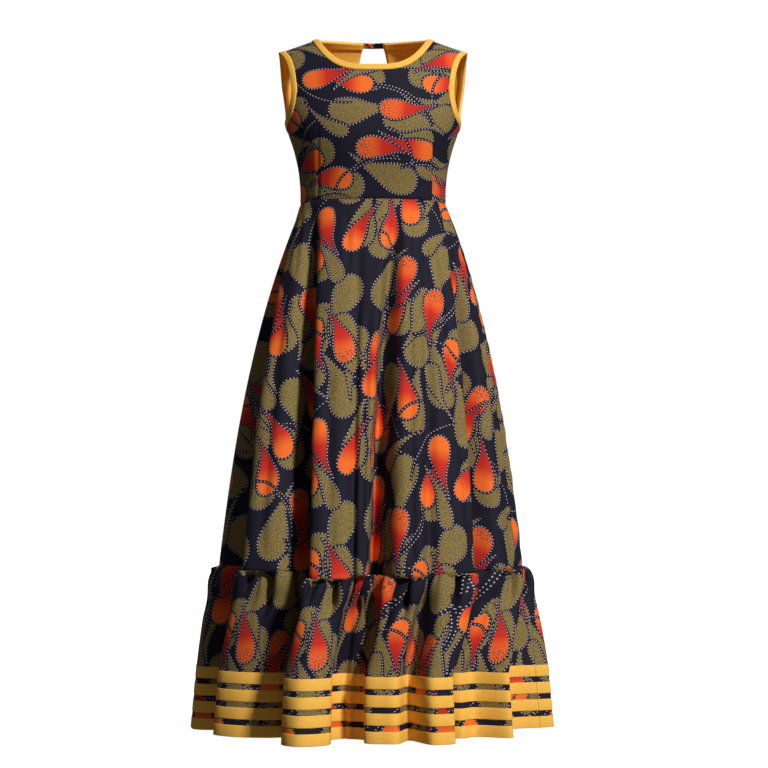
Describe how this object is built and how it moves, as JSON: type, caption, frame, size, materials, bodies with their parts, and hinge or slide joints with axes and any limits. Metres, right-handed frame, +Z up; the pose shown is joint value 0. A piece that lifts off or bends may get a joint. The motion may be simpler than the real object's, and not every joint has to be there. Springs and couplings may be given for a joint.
{
  "type": "wax print maxi dress",
  "caption": "Sleeveless maxi dress in wax print cotton with a fitted lined bodice, flared skirt and gathered ruffle with plain hem bands, in the form it has when worn.",
  "frame": {"origin": "between the neck ends of the two shoulder seams, where the wearer's shoulders carry the dress", "axes": "+Z up, -Y the front of the dress, +X to the right of someone who looks at the front"},
  "size_m": [0.7226, 0.6762, 1.3801],
  "materials": {
    "wax_print_cotton": "matt printed plain weave",
    "yellow_cotton": "matt plain weave"
  },
  "bodies": {
    "root": {"bodice_front": "wax_print_cotton", "bodice_back_left": "wax_print_cotton", "bodice_back_right": "wax_print_cotton", "lining_front": "yellow_cotton", "lining_back_left": "yellow_cotton", "lining_back_right": "yellow_cotton", "neck_binding": "yellow_cotton", "armhole_binding_left": "yellow_cotton", "armhole_binding_right": "yellow_cotton", "back_neck_tab": "wax_print_cotton", "skirt_front": "wax_print_cotton", "skirt_back": "wax_print_cotton", "ruffle_front": "wax_print_cotton", "ruffle_back": "wax_print_cotton", "hem_band_1_front": "yellow_cotton", "hem_band_1_back": "yellow_cotton", "hem_band_2_front": "yellow_cotton", "hem_band_2_back": "yellow_cotton", "hem_band_3_front": "yellow_cotton", "hem_band_3_back": "yellow_cotton", "hem_band_4_front": "yellow_cotton", "hem_band_4_back": "yellow_cotton"}
  },
  "joints": []
}
